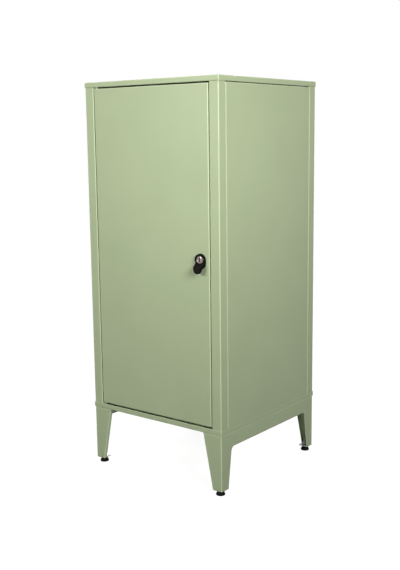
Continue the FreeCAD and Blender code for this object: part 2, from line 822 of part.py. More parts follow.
def make_leg_frame():
    # Right frame: apron, two legs and a top flange folded from one sheet
    inner_x = leg_x - front_leg_top
    open_planes = [(0, inner_x), (2, leg_end_z)]
    low = (inner_x, -leg_y, leg_end_z)
    outer = soft_box(low, (leg_x, leg_y, base_z), bend_inside + leg_sheet, open_planes)
    hollow_low = (inner_x - leg_sheet, -leg_y + leg_sheet, leg_end_z - leg_sheet)
    hollow_high = (leg_x - leg_sheet, leg_y - leg_sheet, base_z - leg_sheet)
    hollow = soft_box(hollow_low, hollow_high, bend_inside, [(0, hollow_low[0]), (2, hollow_low[2])])
    frame = outer.cut(hollow)
    below = leg_end_z - leg_sheet
    inner_top = leg_y - side_leg_top
    inner_end = leg_y - leg_end_width
    gate = [
        (-inner_end, below),
        (inner_end, below),
        (inner_end, leg_end_z),
        (inner_top, apron_z),
        (-inner_top, apron_z),
        (-inner_end, leg_end_z),
    ]
    gate_x = leg_x - 2 * leg_sheet
    gate_radii = [0, 0, 0, leg_fillet, leg_fillet, 0]
    gate_face = rounded_face(gate, gate_radii, lambda y, z: Vector(gate_x, y, z))
    frame = frame.cut(gate_face.extrude(Vector(3 * leg_sheet, 0, 0)))
    # The front and rear faces stop short of the tapered edge, where the returns take over
    trim = [
        (inner_x - 1, below),
        (leg_edge_x(leg_end_z) + leg_lip / 2, below),
        (leg_edge_x(base_z - leg_sheet) + leg_lip / 2, base_z - leg_sheet),
        (inner_x - 1, base_z - leg_sheet),
    ]
    trim_face = rounded_face(trim, [0.0] * 4, lambda x, z: Vector(x, -cap_depth, z))
    frame = frame.cut(trim_face.extrude(Vector(0, 2 * cap_depth, 0)))
    window_low = (inner_x - 1, -leg_y + leg_lip + leg_sheet, base_z - 2 * leg_sheet)
    window_high = (leg_x - leg_flange, leg_y - leg_lip - leg_sheet, base_z + 1)
    frame = frame.cut(box(window_low, window_high))
    edge = make_leg_return()
    frame = frame.fuse([edge, mirrored(edge, 1)]).removeSplitter()
    hole = bolt_diameter + 2 * fixing_clearance
    for x, y in bolt_places():
        frame = frame.cut(rod(hole, (x, y, base_z - 2 * leg_sheet), (x, y, base_z + 1)))
    return frame


def make_leg_bolt(x, y):
    seat = base_z - leg_sheet
    head = hexagon(bolt_flats, (x, y, seat - bolt_head_height), (x, y, seat))
    tip_z = floor_z + bolt_nut_height + bolt_tip
    shank = rod(bolt_diameter, (x, y, seat - bolt_head_height / 2), (x, y, tip_z))
    return head.fuse(shank).removeSplitter()


def make_leg_nut(x, y):
    nut = hexagon(bolt_flats, (x, y, floor_z), (x, y, floor_z + bolt_nut_height))
    hole = bolt_diameter + 2 * running_clearance
    return nut.cut(rod(hole, (x, y, base_z), (x, y, floor_z + 2 * bolt_nut_height)))


def make_foot_plate():
    far = leg_end_width - leg_sheet - foot_plate_gap
    low = (-leg_x + leg_sheet, -leg_y + leg_sheet, leg_end_z)
    high = (-leg_x + far, -leg_y + far, leg_end_z + foot_plate_thickness)
    flat_planes = [(2, low[2]), (2, high[2])]
    plate = soft_box(low, high, bend_inside + foot_plate_gap, flat_planes)
    hole = stem_diameter + 2 * running_clearance
    return plate.cut(rod(hole, (-foot_x, -foot_y, 0), (-foot_x, -foot_y, base_z)))


def make_foot_nut():
    low = leg_end_z + foot_plate_thickness
    nut = hexagon(foot_nut_flats, (-foot_x, -foot_y, low), (-foot_x, -foot_y, low + foot_nut_height))
    hole = stem_diameter + 2 * running_clearance
    return nut.cut(rod(hole, (-foot_x, -foot_y, 0), (-foot_x, -foot_y, base_z)))


def make_foot_pad():
    half = pad_diameter / 2
    neck = pad_neck_diameter / 2
    outline = [(0, 0), (half, 0), (half, pad_rim_height), (neck, pad_height), (0, pad_height)]
    radii = [0, pad_edge, pad_edge, pad_edge, 0]
    face = rounded_face(outline, radii, lambda r, z: Vector(r - foot_x, -foot_y, z))
    pad = face.revolve(Vector(-foot_x, -foot_y, 0), Vector(0, 0, 1), 360)
    socket = stem_diameter + 2 * running_clearance
    return pad.cut(rod(socket, (-foot_x, -foot_y, pad_floor), (-foot_x, -foot_y, base_z)))


def make_foot_stem():
    return rod(stem_diameter, (-foot_x, -foot_y, pad_floor), (-foot_x, -foot_y, pad_floor + stem_length))


def make_stand():
    frame = make_leg_frame()
    save("right_leg_frame", frame)
    save("left_leg_frame", mirrored(frame, 0))
    save("leg_bolts", *[make_leg_bolt(x, y) for x, y in bolt_places()])
    save("leg_nuts", *[make_leg_nut(x, y) for x, y in bolt_places()])
    corners = [(end, side) for end in ends.values() for side in sides.values()]
    save("foot_plates", *[at_corner(make_foot_plate(), end, side) for end, side in corners])
    save("foot_nuts", *[at_corner(make_foot_nut(), end, side) for end, side in corners])
    for end_name, end in ends.items():
        for side_name, side in sides.items():
            place = end_name + "_" + side_name
            save(place + "_foot_pad", at_corner(make_foot_pad(), end, side))
            save(place + "_foot_stem", at_corner(make_foot_stem(), end, side))


os.makedirs("parts", exist_ok=True)
make_carcass()
make_shelves()
save("door_panel", make_door())
save("door_stiffener", make_stiffener())
make_hinges()
make_stops()
make_lock()
make_stand()
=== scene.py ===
import bpy
import bmesh
import json
import math
from mathutils import Matrix, Vector


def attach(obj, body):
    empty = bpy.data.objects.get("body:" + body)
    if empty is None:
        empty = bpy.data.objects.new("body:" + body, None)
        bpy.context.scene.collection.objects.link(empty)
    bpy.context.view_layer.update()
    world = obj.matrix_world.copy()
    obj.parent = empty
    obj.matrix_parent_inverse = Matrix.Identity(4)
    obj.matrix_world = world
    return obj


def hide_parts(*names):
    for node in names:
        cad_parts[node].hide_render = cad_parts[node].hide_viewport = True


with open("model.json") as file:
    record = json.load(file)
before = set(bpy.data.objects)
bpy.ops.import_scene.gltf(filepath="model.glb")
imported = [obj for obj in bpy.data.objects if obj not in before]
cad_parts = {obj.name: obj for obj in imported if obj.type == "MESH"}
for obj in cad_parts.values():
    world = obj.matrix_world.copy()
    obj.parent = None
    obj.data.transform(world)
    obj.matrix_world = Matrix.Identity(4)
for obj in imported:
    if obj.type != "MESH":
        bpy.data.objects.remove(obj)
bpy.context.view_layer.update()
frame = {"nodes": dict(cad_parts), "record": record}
nodes = frame["nodes"]
print("frame loaded:", len(nodes), "nodes")

mm = 0.001
weldGap = 1e-7          # points closer than this, in metres, are one


# sRGB hex to the linear colour that shaders take
def hexColour(code):
    parts = [int(code[i:i + 2], 16) / 255 for i in (0, 2, 4)]
    return [c / 12.92 if c <= 0.04045 else ((c + 0.055) / 1.055) ** 2.4 for c in parts] + [1.0]


def addNode(tree, kind, inputs=None, **settings):
    node = tree.nodes.new("ShaderNode" + kind)
    for key, value in settings.items():
        setattr(node, key, value)
    for key, value in (inputs or {}).items():
        if isinstance(value, bpy.types.NodeSocket):
            tree.links.new(value, node.inputs[key])
        else:
            node.inputs[key].default_value = value
    return node


# Noise with grains of one size
def addNoise(tree, where, size, detail):
    return addNode(tree, "TexNoise", {"Vector": where, "Scale": 1 / size, "Detail": detail}).outputs["Fac"]


# A value stretched from one range to another
def stretch(tree, value, source=(0.0, 1.0), target=(0.0, 1.0)):
    inputs = {"Value": value, "From Min": source[0], "From Max": source[1],
              "To Min": target[0], "To Max": target[1]}
    return addNode(tree, "MapRange", inputs).outputs["Result"]


# Two colours, as hex or sockets; the colours of a Mix node are its inputs 6 and 7 and its output 2
def mixColours(tree, factor, first, second):
    first, second = [hexColour(c) if isinstance(c, str) else c for c in (first, second)]
    return addNode(tree, "Mix", {"Factor": factor, 6: first, 7: second}, data_type="RGBA").outputs[2]


def newMaterial(name):
    material = bpy.data.materials.new(name)
    material.use_nodes = True
    tree = material.node_tree
    tree.nodes.clear()
    return material, tree, addNode(tree, "TexCoord").outputs["Object"]


def addSurface(tree, inputs):
    shader = addNode(tree, "BsdfPrincipled", inputs)
    addNode(tree, "OutputMaterial", {"Surface": shader.outputs["BSDF"]})


def addObject(name, data):
    made = bpy.data.objects.new(name, data)
    bpy.context.scene.collection.objects.link(made)
    return made


# Polyester powder coat on steel: even sage green, satin, with the faint orange peel of melted powder.
# Bends and sheet edges are painted paler, a painted highlight, and edges that face down are painted darker,
# a painted shade.
coat = dict(
    colour="a6b38f", pale="a8b591", shade="a4b18d", edge="c8d5ae", paintedUnderShade="78856a",
    cloudSize=140 * mm, cloudDetail=2.0, cloudBand=(0.3, 0.5, 0.7),
    peelSize=1.8 * mm, peelDetail=1.5, peelBand=(0.3, 0.7), peelDepth=0.012 * mm, peelStrength=0.25,
    edgeWidth=3.6 * mm, bendRadius=1.0 * mm, bendSamples=4, slantBand=(0.97, 0.68), downBand=(-0.35, -0.08),
    roughness=(0.32, 0.40), ior=1.5, specular=0.18,
)


def makePowderCoat():
    material, tree, where = newMaterial("powderCoatSage")
    tint = addNode(tree, "ValToRGB", {"Fac": addNoise(tree, where, coat["cloudSize"], coat["cloudDetail"])})
    low, middle, high = coat["cloudBand"]
    stops = tint.color_ramp.elements
    stops[0].position = low
    stops[0].color = hexColour(coat["shade"])
    stops[1].position = high
    stops[1].color = hexColour(coat["pale"])
    stops.new(middle).color = hexColour(coat["colour"])
    rounded = addNode(tree, "Bevel", {"Radius": coat["bendRadius"]}, samples=coat["bendSamples"])
    broad = addNode(tree, "Bevel", {"Radius": coat["edgeWidth"]}, samples=coat["bendSamples"])
    # Flat sheet lies square to the cabinet's axes, so a slanting normal marks a bend or a sheet's edge:
    # the sum of the fourth powers of its parts falls below 1; there the colour is painted paler, a painted
    # highlight
    lie = addNode(tree, "VectorTransform", {"Vector": broad.outputs["Normal"]}, vector_type="NORMAL",
                  convert_from="WORLD", convert_to="OBJECT").outputs["Vector"]
    squared = addNode(tree, "VectorMath", {0: lie, 1: lie}, operation="MULTIPLY").outputs["Vector"]
    powers = addNode(tree, "VectorMath", {0: squared, 1: squared}, operation="DOT_PRODUCT").outputs["Value"]
    edge = stretch(tree, powers, coat["slantBand"])
    # Edges that face down take a darker colour instead: painted shade under the bends
    facing = addNode(tree, "SeparateXYZ", {"Vector": lie})
    notFacingDown = stretch(tree, facing.outputs["Z"], coat["downBand"])
    paintedBendHighlightAndShade = mixColours(tree, notFacingDown, coat["paintedUnderShade"], coat["edge"])
    peel = addNoise(tree, where, coat["peelSize"], coat["peelDetail"])
    bump = addNode(tree, "Bump", {"Height": peel, "Strength": coat["peelStrength"],
                                  "Distance": coat["peelDepth"], "Normal": rounded.outputs["Normal"]})
    # Base colour: the cloudy coat, painted paler on bends as a highlight and darker on down-facing edges as
    # shade
    addSurface(tree, {
        "Base Color": mixColours(tree, edge, tint.outputs["Color"], paintedBendHighlightAndShade),
        "Roughness": stretch(tree, peel, coat["peelBand"], coat["roughness"]),
        "IOR": coat["ior"], "Specular IOR Level": coat["specular"], "Normal": bump.outputs["Normal"],
    })
    return material


# Injection-moulded black nylon: spark-eroded grain, satin, hardly any colour
blackPlastic = dict(colour="080807", worn="110f0e", grain=0.5 * mm, detail=3.0, band=(0.3, 0.7),
                    depth=0.02 * mm, strength=0.3, roughness=(0.42, 0.56), ior=1.53, specular=0.07)


def makeBlackPlastic():
    material, tree, where = newMaterial("mouldedBlackNylon")
    grain = addNoise(tree, where, blackPlastic["grain"], blackPlastic["detail"])
    bump = addNode(tree, "Bump", {"Height": grain, "Strength": blackPlastic["strength"],
                                  "Distance": blackPlastic["depth"]})
    addSurface(tree, {
        "Base Color": mixColours(tree, grain, blackPlastic["colour"], blackPlastic["worn"]),
        "Roughness": stretch(tree, grain, blackPlastic["band"], blackPlastic["roughness"]),
        "IOR": blackPlastic["ior"], "Specular IOR Level": blackPlastic["specular"],
        "Normal": bump.outputs["Normal"],
    })
    return material


# Chrome plate on a zinc casting: mirror bright, with hairlines from keys and fingers
chrome = dict(colour="a0958f", hairline="8a807b", hairSize=0.35 * mm, detail=4.0, drawn=(1.0, 1.0, 0.08),
              band=(0.35, 0.75), roughness=(0.10, 0.18))


def makeChrome():
    material, tree, where = newMaterial("chromePlate")
    drawn = addNode(tree, "Mapping", {"Vector": where, "Scale": chrome["drawn"]})
    hair = addNoise(tree, drawn.outputs["Vector"], chrome["hairSize"], chrome["detail"])
    addSurface(tree, {
        "Base Color": mixColours(tree, hair, chrome["colour"], chrome["hairline"]), "Metallic": 1.0,
        "Roughness": stretch(tree, hair, chrome["band"], chrome["roughness"]),
    })
    return material


# Near-black metal in the plug's keyway and on its lead: painted shade for the deep narrow slot
keywayShade = dict(colour="1d1611", deeperShade="0e0b08", cloud=0.8 * mm, detail=3.0, roughness=(0.45, 0.65))


def makeKeywayShade():
    material, tree, where = newMaterial("keywayPaintedShade")
    cloud = addNoise(tree, where, keywayShade["cloud"], keywayShade["detail"])
    addSurface(tree, {
        "Base Color": mixColours(tree, cloud, keywayShade["colour"], keywayShade["deeperShade"]), "Metallic": 1.0,
        "Roughness": stretch(tree, cloud, target=keywayShade["roughness"]),
    })
    return material


# Zinc plate on steel: cool grey, semi-bright, with the cloudy spangle of the plating bath
zinc = dict(colour="868a89", cloud="6f7372", spangle=2.5 * mm, cloudSize=10 * mm, detail=3.0,
            band=(0.1, 0.5), roughness=(0.28, 0.48))


def makeZinc():
    material, tree, where = newMaterial("zincPlatedSteel")
    cells = addNode(tree, "TexVoronoi", {"Vector": where, "Scale": 1 / zinc["spangle"]})
    cloud = addNoise(tree, where, zinc["cloudSize"], zinc["detail"])
    mixed = addNode(tree, "Math", {0: cells.outputs["Distance"], 1: cloud},
                    operation="MULTIPLY").outputs["Value"]
    addSurface(tree, {
        "Base Color": mixColours(tree, mixed, zinc["colour"], zinc["cloud"]), "Metallic": 1.0,
        "Roughness": stretch(tree, mixed, zinc["band"], zinc["roughness"]),
    })
    return material


# Natural nylon: milky white, a little light gets in
nylon = dict(colour="e8e4d6", shade="dcd7c6", grain=1.2 * mm, detail=2.0, band=(0.3, 0.7),
             roughness=(0.38, 0.5), ior=1.53, letIn=0.15, reach=(2 * mm, 2 * mm, 1.5 * mm))


def makeNylon():
    material, tree, where = newMaterial("naturalNylon")
    grain = addNoise(tree, where, nylon["grain"], nylon["detail"])
    addSurface(tree, {
        "Base Color": mixColours(tree, grain, nylon["colour"], nylon["shade"]),
        "Roughness": stretch(tree, grain, nylon["band"], nylon["roughness"]),
        "IOR": nylon["ior"], "Subsurface Weight": nylon["letIn"], "Subsurface Radius": nylon["reach"],
    })
    return material


# Black EPDM rubber: dull, with a dusty bloom
rubber = dict(colour="161616", bloom="2b2b2a", cloud=3 * mm, detail=4.0, roughness=(0.75, 0.92), ior=1.52)


def makeRubber():
    material, tree, where = newMaterial("blackRubber")
    cloud = addNoise(tree, where, rubber["cloud"], rubber["detail"])
    addSurface(tree, {
        "Base Color": mixColours(tree, cloud, rubber["colour"], rubber["bloom"]),
        "Roughness": stretch(tree, cloud, target=rubber["roughness"]), "IOR": rubber["ior"],
    })
    return material


finishes = {
    "sage_powder_coated_steel": makePowderCoat(),
    "zinc_plated_steel": makeZinc(),
    "chrome_plate": makeChrome(),
    "black_plastic": makeBlackPlastic(),
    "white_nylon": makeNylon(),
    "black_rubber": makeRubber(),
}
slotOf = {part["node"]: part["material_slot"] for part in frame["record"]["subparts"]}
for name, node in nodes.items():
    for materialSlot in node.material_slots:
        materialSlot.material = finishes[slotOf[name]]
# The near-black painted shade for the inside of the keyway
keywayPaintedShade = makeKeywayShade()
print("finishes given to", len(slotOf), "nodes")


# Fittings: the cabinet's turned, milled and threaded hardware, all in mm from the carcass's middle
carcass = dict(middleY=9.0, hingeX=-184.9, hingeY=-217.1, lockX=164.2, lockZ=614.0, doorFaceY=-223.6)
outOfDoor = Matrix.Rotation(math.radians(90), 4, "X")       # local Z comes out of the door
intoDoor = Matrix.Rotation(math.radians(-90), 4, "X")
roundSteps = 48
sharpAngle = math.radians(28)


def spot(x, y, z):
    return Matrix.Translation(Vector((x, y + carcass["middleY"], z)) * mm)


# A place on the lock's axis, so far behind the door's face
def lockSpot(behind=0.0):
    return spot(carcass["lockX"], carcass["doorFaceY"] + behind, carcass["lockZ"])


def only(kind, items):
    return [item for item in items if isinstance(item, kind)]


def moveShape(bm, matrix):
    bmesh.ops.transform(bm, matrix=matrix, verts=bm.verts)


def sliceShape(bm, at, way, clearOuter=False):
    return bmesh.ops.bisect_plane(bm, geom=bm.verts[:] + bm.edges[:] + bm.faces[:], dist=weldGap,
                                  plane_co=at, plane_no=way, clear_outer=clearOuter)


# Points in mm, joined to a line that is ready to spin
def drawLine(bm, points):
    verts = [bm.verts.new((radius * mm, 0.0, height * mm)) for radius, height in points]
    return verts + [bm.edges.new(pair) for pair in zip(verts, verts[1:])]


# A profile of radius and height in mm, spun round Z
def turned(profile, steps=roundSteps):
    bm = bmesh.new()
    bmesh.ops.spin(bm, geom=drawLine(bm, profile), cent=(0, 0, 0), axis=(0, 0, 1), angle=2 * math.pi,
                   steps=steps, use_merge=True)
    bmesh.ops.remove_doubles(bm, verts=bm.verts, dist=weldGap)
    return bm


# Six flats milled on a turned blank, a corner towards X
def millHexagon(bm, flats):
    for side in range(6):
        angle = math.radians(60 * side + 30)
        way = Vector((math.cos(angle), math.sin(angle), 0))
        cut = sliceShape(bm, way * flats / 2 * mm, way, clearOuter=True)
        bmesh.ops.edgeloop_fill(bm, edges=only(bmesh.types.BMEdge, cut["geom_cut"]))


# Corners turned off at this angle in degrees, down to this share of the width across flats
hexagon = dict(turnedOff=30, faceShare=0.96)


# A hexagon with its corners turned off, with a hole or solid
def hexagonBlank(flats, height, hole=0.0, lead=0.0):
    corner = flats / 2 / math.cos(math.radians(30))
    face = flats / 2 * hexagon["faceShare"]
    drop = (corner - face) * math.tan(math.radians(hexagon["turnedOff"]))
    profile = [(face, 0), (corner, drop), (corner, height - drop), (face, height)]
    if hole:
        inner = hole / 2
        profile = [(inner, lead), (inner + lead, 0)] + profile
        profile += [(inner + lead, height), (inner, height - lead), (inner, lead)]
    else:
        profile = [(0, 0)] + profile + [(0, height)]
    bm = turned(profile)
    millHexagon(bm, flats)
    return bm


# Depth, crest and end of the flank as shares of the pitch; the ends are drawn in by endShare
thread = dict(depth=0.58, crest=(0.4, 0.52), flankEnd=0.92, endShare=0.86, steps=24, gap=1e-6)


# A rolled thread: one pitch of its profile carried round and up
def threadedRod(diameter, pitch, length):
    outer, steps = diameter / 2, thread["steps"]
    root = outer - thread["depth"] * pitch
    low, high = thread["crest"]
    profile = [(root, 0), (outer, low), (outer, high), (root, thread["flankEnd"]), (root, 1.0)]
    turns = math.ceil(length / pitch) + 1
    bm = bmesh.new()
    line = drawLine(bm, [(radius, (height - 1) * pitch) for radius, height in profile])
    bmesh.ops.spin(bm, geom=line, cent=(0, 0, 0), axis=(0, 0, 1), dvec=(0, 0, pitch * mm / steps),
                   angle=2 * math.pi * turns, steps=steps * turns, use_merge=False)
    bmesh.ops.remove_doubles(bm, verts=bm.verts, dist=thread["gap"])
    for height, way in ((0, -1), (length, 1)):
        sliceShape(bm, (0, 0, height * mm), (0, 0, way), clearOuter=True)
        rim = [edge for edge in bm.edges if edge.is_boundary
               and all(abs(vert.co.z - height * mm) < thread["gap"] for vert in edge.verts)]
        ends = list({vert for edge in rim for vert in edge.verts})
        bmesh.ops.scale(bm, vec=(thread["endShare"], thread["endShare"], 1), verts=ends)
        bmesh.ops.holes_fill(bm, edges=rim, sides=0)
    return bm


# A flat round face with a recess sunk into the cells that sunk() picks
def recessedFace(radius, xCuts, yCuts, sunk, depth, taper=1.0):
    bm = bmesh.new()
    bmesh.ops.create_circle(bm, cap_ends=True, segments=roundSteps, radius=radius * mm)
    for way, cuts in ((Vector((1, 0, 0)), xCuts), (Vector((0, 1, 0)), yCuts)):
        for at in cuts:
            sliceShape(bm, way * at * mm, way)
    cells = []
    for face in bm.faces:
        middle = face.calc_center_median()
        if sunk(middle.x / mm, middle.y / mm):
            cells.append(face)
    deep = bmesh.ops.extrude_face_region(bm, geom=cells)
    bmesh.ops.delete(bm, geom=cells, context="FACES_ONLY")
    floor = only(bmesh.types.BMVert, deep["geom"])
    bmesh.ops.translate(bm, vec=(0, 0, -depth * mm), verts=floor)
    bmesh.ops.scale(bm, vec=(taper, taper, 1), verts=floor)
    return bm


# Carries the outer rim of a face down a profile of radius and height, and closes the end
def carryRim(bm, profile):
    rim = [edge for edge in bm.edges if edge.is_boundary]
    for radius, height in profile:
        grown = bmesh.ops.extrude_edge_only(bm, edges=rim)
        verts = only(bmesh.types.BMVert, grown["geom"])
        rim = only(bmesh.types.BMEdge, grown["geom"])
        now = max(vert.co.xy.length for vert in verts)
        bmesh.ops.scale(bm, vec=(radius * mm / now, radius * mm / now, 1), verts=verts)
        bmesh.ops.translate(bm, vec=(0, 0, height * mm - verts[0].co.z), verts=verts)
    bmesh.ops.edgeloop_fill(bm, edges=rim)


# Adds a shape to another and frees it
def absorb(whole, shape):
    mesh = bpy.data.meshes.new("absorbed")
    shape.to_mesh(mesh)
    shape.free()
    whole.from_mesh(mesh)
    bpy.data.meshes.remove(mesh)


# One mesh with the shape set down at each place
def setDown(shape, places):
    whole = bmesh.new()
    for place in places:
        copy = shape.copy()
        moveShape(copy, place)
        absorb(whole, copy)
    shape.free()
    return whole


def finishPiece(name, bm, body, slot, replaced, inner=None):
    bmesh.ops.recalc_face_normals(bm, faces=bm.faces)
    mesh = bpy.data.meshes.new(name)
    bm.to_mesh(mesh)
    bm.free()
    mesh.shade_smooth()
    mesh.set_sharp_from_angle(angle=sharpAngle)
    mesh.materials.append(finishes[slot])
    if inner:
        mesh.materials.append(inner)
    piece = addObject(name, mesh)
    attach(piece, body)
    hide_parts(replaced)


# Key cylinder: chrome barrel with a broad rounded shoulder, and the plug with its warded keyway.
# The mouth of the bore and the rim of the plug are given as steps of inset and drop.
barrel = dict(diameter=21.0, stand=6.2, shoulder=2.9, shoulderStep=9, bore=13.1, boreDepth=14.6,
              mouth=((0.0, 0.4), (0.3, 0.05)), headBack=2.6, shank=16.0, shankEnd=-19.0, square=8.9,
              squareLength=2.5, squareEdge=0.4, steps=64)
plug = dict(diameter=13.0, recess=0.4, length=14.2, keyHeight=8.0, keyWidth=2.0, keyDepth=11.0, lead=0.6,
            wardX=-0.2, wardY=(0.2, 1.9), faceInset=0.5, rim=((0.15, 0.12), (0.0, 0.4)), shadeFrom=0.05)


def makeBarrel():
    half, bore, shank = [barrel[key] / 2 for key in ("diameter", "bore", "shank")]
    stand, shoulder, back, end = [barrel[key] for key in ("stand", "shoulder", "headBack", "shankEnd")]
    bottom = stand - barrel["boreDepth"]
    profile = [(0, bottom), (bore, bottom)]
    profile += [(bore + inset, stand - drop) for inset, drop in barrel["mouth"]]
    for degrees in range(0, 91, barrel["shoulderStep"]):
        angle = math.radians(degrees)
        profile.append((half - shoulder * (1 - math.sin(angle)), stand - shoulder * (1 - math.cos(angle))))
    profile += [(half, back), (shank, back), (shank, end), (0, end)]
    bm = turned(profile, barrel["steps"])
    side, length = barrel["square"] * mm, barrel["squareLength"] * mm
    middle = (end - barrel["squareLength"] / 2) * mm
    made = bmesh.ops.create_cube(bm, size=1.0, matrix=Matrix.Translation((0, 0, middle))
                                 @ Matrix.Diagonal((side, side, length, 1)))
    edges = list({edge for vert in made["verts"] for edge in vert.link_edges})
    bmesh.ops.bevel(bm, geom=edges, offset=barrel["squareEdge"] * mm, affect="EDGES", segments=2,
                    profile=0.5, material=-1)
    moveShape(bm, lockSpot() @ outOfDoor)
    finishPiece("keyBarrel", bm, "handle", "chrome_plate", "lock_barrel")


def makePlug():
    half, wide, tall = [plug[key] / 2 for key in ("diameter", "keyWidth", "keyHeight")]
    wardX, (wardLow, wardHigh) = plug["wardX"], plug["wardY"]

    # A ward stands into the keyway on one side
    def inKeyway(x, y):
        inWard = x < wardX and wardLow < y < wardHigh
        return abs(x) < wide and abs(y) < tall and not inWard

    bm = recessedFace(half - plug["faceInset"], (-wide, wardX, wide), (-tall, wardLow, wardHigh, tall),
                      inKeyway, plug["keyDepth"])
    lip = [edge for edge in bm.edges if not edge.is_boundary
           and all(abs(vert.co.z) < weldGap for vert in edge.verts)
           and any(abs(face.normal.z) < 0.5 for face in edge.link_faces)]
    bmesh.ops.bevel(bm, geom=lip, offset=plug["lead"] * mm, affect="EDGES", segments=2, profile=0.5,
                    material=-1)
    # Faces sunk below the plug's face, the keyway and its lead, take the near-black painted shade
    for face in bm.faces:
        face.material_index = int(face.calc_center_median().z < -plug["shadeFrom"] * mm)
    carryRim(bm, [(half - inset, -drop) for inset, drop in plug["rim"]] + [(half, -plug["length"])])
    outward = Matrix.Translation((0, 0, (barrel["stand"] - plug["recess"]) * mm))
    moveShape(bm, lockSpot() @ outOfDoor @ outward)
    finishPiece("keyPlug", bm, "plug", "chrome_plate", "lock_plug", keywayPaintedShade)


# Behind the door: the ring nut of the lock and the pan-head screw that holds the cam.
# The screw's crown is given as steps of inset and drop.
lockNut = dict(flats=27.0, height=5.0, hole=22.1, lead=0.5, seat=1.0)
camScrew = dict(head=12.0, headHeight=3.0, shank=5.0, length=11.0, seat=21.5, slot=1.3, cross=5.6,
                crossDepth=1.7, crossTaper=0.72, faceInset=2.4,
                crown=((1.4, 0.15), (0.6, 0.55), (0.15, 1.2), (0.0, 1.8), (0.0, 2.8), (0.2, 3.0)))


def makeLockFixings():
    bm = hexagonBlank(lockNut["flats"], lockNut["height"], lockNut["hole"], lockNut["lead"])
    moveShape(bm, lockSpot(lockNut["seat"]) @ intoDoor)
    finishPiece("lockRingNut", bm, "door", "zinc_plated_steel", "lock_nut")
    head, shank, half, reach = [camScrew[key] / 2 for key in ("head", "shank", "slot", "cross")]
    inCross = lambda x, y: min(abs(x), abs(y)) < half and max(abs(x), abs(y)) < reach
    cuts = (-reach, -half, half, reach)
    bm = recessedFace(head - camScrew["faceInset"], cuts, cuts, inCross, camScrew["crossDepth"],
                      camScrew["crossTaper"])
    seat = camScrew["headHeight"]
    carryRim(bm, [(head - inset, -drop) for inset, drop in camScrew["crown"]]
             + [(shank, -seat), (shank, -seat - camScrew["length"])])
    moveShape(bm, lockSpot(camScrew["seat"] + seat) @ intoDoor)
    finishPiece("camPanScrew", bm, "handle", "zinc_plated_steel", "cam_screw")


# Hinge pins with domed heads, and the blind rivets of the hinge brackets and door stops.
# A dome is given as steps of radius, as a share of the head's, and drop; a bulge as inset and drop.
hingePin = dict(shank=5.0, head=8.5, headHeight=2.0, dome=((0.55, 0.12), (0.85, 0.5), (1.0, 1.1)), edge=0.15,
                leadWidth=0.7, leadLength=0.8, seat=1049.3, end=1034.6, mirrorZ=614.0, steps=40)
rivet = dict(head=7.5, headHeight=1.2, dome=((0.5, 0.1), (0.8, 0.4), (0.97, 0.85), (1.0, 1.1)), edge=0.1,
             dimple=(0.9, 1.1), dimpleDepth=0.5, shank=4.0, tail=6.0, tailEnd=1.6,
             bulge=((0.3, 0.0), (0.0, 0.4), (0.4, 0.9)), steps=32)
hingeRivets = dict(x=-192.2, y=(-211.15, -200.15), z=(1055.65, 172.35), grip=3.0, turn=90)
stopRivets = dict(x=192.7, y=(-189.85,), z=(1001.6, 226.4), grip=2.5, turn=-90)


def makeHingePins():
    shank, head = hingePin["shank"] / 2, hingePin["head"] / 2
    top, edge = hingePin["headHeight"], hingePin["edge"]
    length = hingePin["seat"] - hingePin["end"]
    profile = [(0, top)] + [(head * share, top - drop) for share, drop in hingePin["dome"]]
    profile += [(head, edge), (head - edge, 0), (shank, 0), (shank, hingePin["leadLength"] - length),
                (shank - hingePin["leadWidth"], -length), (0, -length)]
    for name, way in (("upper", 1), ("lower", -1)):
        bm = turned(profile, hingePin["steps"])
        level = hingePin["mirrorZ"] + way * (hingePin["seat"] - hingePin["mirrorZ"])
        moveShape(bm, spot(carcass["hingeX"], carcass["hingeY"], level) @ Matrix.Diagonal((1, 1, way, 1)))
        finishPiece(name + "HingePin", bm, "cabinet", "zinc_plated_steel", name + "_hinge_pin")


def rivetShape(grip):
    head, shank, tail = [rivet[key] / 2 for key in ("head", "shank", "tail")]
    height = rivet["headHeight"]
    # The domed head has the small dimple of the broken mandrel
    inner, mouth = rivet["dimple"]
    bottom = height - rivet["dimpleDepth"]
    profile = [(0, bottom), (inner, bottom), (mouth, height)]
    profile += [(head * share, height - drop) for share, drop in rivet["dome"]]
    profile += [(head - rivet["edge"], 0), (shank, 0), (shank, -grip)]
    profile += [(tail - inset, -grip - drop) for inset, drop in rivet["bulge"]]
    profile += [(rivet["tailEnd"], -grip - height), (0, -grip - height)]
    return turned(profile, rivet["steps"])


def makeRivets():
    for name, row, replaced in (("hingeBlindRivets", hingeRivets, "hinge_rivets"),
                                ("stopBlindRivets", stopRivets, "stop_rivets")):
        turn = Matrix.Rotation(math.radians(row["turn"]), 4, "Y")
        places = [spot(row["x"], y, z) @ turn for y in row["y"] for z in row["z"]]
        finishPiece(name, setDown(rivetShape(row["grip"]), places), "cabinet", "zinc_plated_steel", replaced)


# Under the base cap: M6 screws with nuts for the leg frames, M8 levelling stems with nuts for the feet
legScrew = dict(x=208.0, y=150.0, flats=10.0, headLow=158.5, headHeight=4.0, shank=6.0, pitch=1.0, bite=1.0,
                tip=172.0, nutLow=165.0, nutHeight=5.0, nutPlay=0.1, nutLead=0.4)
foot = dict(x=208.5, y=208.5, shank=8.0, pitch=1.25, stemLow=4.5, stemLength=37.5, flats=13.0, nutLow=17.0,
            nutHeight=6.5, nutPlay=0.1, nutLead=0.5)


# The nuts of legScrew or foot, one at each corner
def makeNuts(name, fitting, corners, replaced):
    nut = hexagonBlank(fitting["flats"], fitting["nutHeight"], fitting["shank"] + fitting["nutPlay"],
                       fitting["nutLead"])
    finishPiece(name, setDown(nut, [spot(x, y, fitting["nutLow"]) for x, y in corners]), "cabinet",
                "zinc_plated_steel", replaced)


